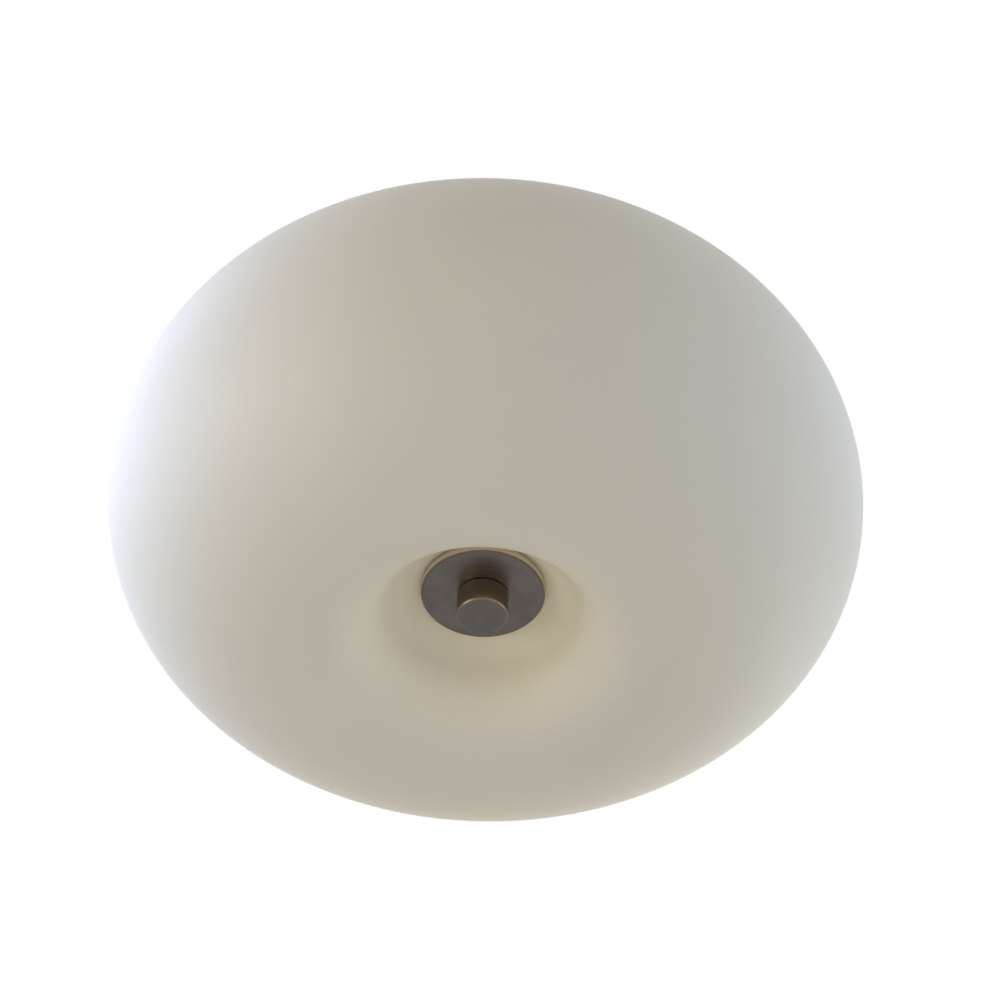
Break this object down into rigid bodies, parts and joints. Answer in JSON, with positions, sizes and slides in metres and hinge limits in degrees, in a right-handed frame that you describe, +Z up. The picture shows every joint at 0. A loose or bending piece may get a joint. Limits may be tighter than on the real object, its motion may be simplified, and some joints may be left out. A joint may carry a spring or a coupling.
{
  "type": "flush ceiling light",
  "caption": "Flush ceiling light: satin opal glass bowl with a deep central well, held to a ceiling pan by a metal cover disc and knob on a threaded tube, with lamps inside.",
  "frame": {"origin": "middle of the two ceiling screw slots, on the ceiling plane", "axes": "+Z up into the ceiling, +X along the mounting bar; the glass hangs towards -Z"},
  "size_m": [0.45, 0.4498, 0.209],
  "materials": {
    "opal_glass": "satin",
    "satin_nickel": "satin",
    "bright_nickel": "polished",
    "zinc_steel": "plated",
    "white_enamel": "satin",
    "brass": "plain",
    "tinned_copper": "plated",
    "solder": "plain",
    "white_silicone": "matte",
    "clear_nylon": "matte",
    "white_moulding": "gloss",
    "black_glass": "gloss",
    "lamp_plastic": "satin",
    "frosted_plastic": "frosted",
    "white_board": "matte",
    "brown_insulation": "satin",
    "blue_insulation": "satin",
    "green_yellow_insulation": "satin"
  },
  "bodies": {
    "fixture": {"mounting_bar": "zinc_steel", "bar_studs": "zinc_steel", "pan_cap_nuts": "bright_nickel", "ceiling_pan": "white_enamel", "rim_gasket": "white_silicone", "threaded_tube": "zinc_steel", "tube_nut_upper": "zinc_steel", "tube_nut_lower": "zinc_steel", "tube_washers": "zinc_steel", "lamp_bracket": "white_enamel", "holder_screws": "zinc_steel", "lead_bushes": "white_silicone", "terminal_block": "white_moulding", "terminal_barrels": "brass", "terminal_screws": "zinc_steel", "block_screw": "zinc_steel", "earth_screw": "brass", "earth_nut": "brass", "earth_lug": "tinned_copper", "live_leads": "brown_insulation", "neutral_leads": "blue_insulation", "earth_lead": "green_yellow_insulation", "holder_1_body": "white_moulding", "holder_1_shell": "bright_nickel", "holder_1_contact": "brass", "holder_2_body": "white_moulding", "holder_2_shell": "bright_nickel", "holder_2_contact": "brass", "holder_3_body": "white_moulding", "holder_3_shell": "bright_nickel", "holder_3_contact": "brass"},
    "shade": {"glass_shade": "opal_glass", "glass_bush": "clear_nylon", "disc_gasket": "white_silicone", "cover_disc": "satin_nickel"},
    "knob_carrier": {"knob_washer": "clear_nylon"},
    "knob": {"knob": "satin_nickel"},
    "bulb_1_tip": {"bulb_1_contact": "solder"},
    "bulb_1": {"bulb_1_insulator": "black_glass", "bulb_1_cap": "bright_nickel", "bulb_1_housing": "lamp_plastic", "bulb_1_board": "white_board", "bulb_1_diffuser": "frosted_plastic"},
    "bulb_2_tip": {"bulb_2_contact": "solder"},
    "bulb_2": {"bulb_2_insulator": "black_glass", "bulb_2_cap": "bright_nickel", "bulb_2_housing": "lamp_plastic", "bulb_2_board": "white_board", "bulb_2_diffuser": "frosted_plastic"},
    "bulb_3_tip": {"bulb_3_contact": "solder"},
    "bulb_3": {"bulb_3_insulator": "black_glass", "bulb_3_cap": "bright_nickel", "bulb_3_housing": "lamp_plastic", "bulb_3_board": "white_board", "bulb_3_diffuser": "frosted_plastic"}
  },
  "joints": [
    {"name": "shade_lower", "type": "slide", "parent": "fixture", "child": "shade", "axis": [0, 0, -1], "range_m": [0, 0.2]},
    {"name": "knob_drop", "type": "slide", "parent": "shade", "child": "knob_carrier", "axis": [0, 0, -1], "range_m": [0, 0.012]},
    {"name": "knob_turn", "type": "hinge", "parent": "knob_carrier", "child": "knob", "pos_m": [0, 0, -0.17], "axis": [0, 0, -1], "range_deg": [0, 4320]},
    {"name": "bulb_1_draw", "type": "slide", "parent": "fixture", "child": "bulb_1_tip", "axis": [0, 1, 0], "range_m": [0, 0.02541]},
    {"name": "bulb_1_turn", "type": "hinge", "parent": "bulb_1_tip", "child": "bulb_1", "pos_m": [0, 0.1, -0.075], "axis": [0, 1, 0], "range_deg": [0, 2520]},
    {"name": "bulb_2_draw", "type": "slide", "parent": "fixture", "child": "bulb_2_tip", "axis": [-0.866, -0.5, 0], "range_m": [0, 0.02541]},
    {"name": "bulb_2_turn", "type": "hinge", "parent": "bulb_2_tip", "child": "bulb_2", "pos_m": [-0.0866, -0.05, -0.075], "axis": [-0.866, -0.5, 0], "range_deg": [0, 2520]},
    {"name": "bulb_3_draw", "type": "slide", "parent": "fixture", "child": "bulb_3_tip", "axis": [0.866, -0.5, 0], "range_m": [0, 0.02541]},
    {"name": "bulb_3_turn", "type": "hinge", "parent": "bulb_3_tip", "child": "bulb_3", "pos_m": [0.0866, -0.05, -0.075], "axis": [0.866, -0.5, 0], "range_deg": [0, 2520]}
  ],
  "couplings": [
    {"joint": "knob_drop", "follows": "knob_turn", "m_per_rad": 0.00015915},
    {"joint": "bulb_1_draw", "follows": "bulb_1_turn", "m_per_rad": 0.00057757},
    {"joint": "bulb_2_draw", "follows": "bulb_2_turn", "m_per_rad": 0.00057757},
    {"joint": "bulb_3_draw", "follows": "bulb_3_turn", "m_per_rad": 0.00057757}
  ]
}
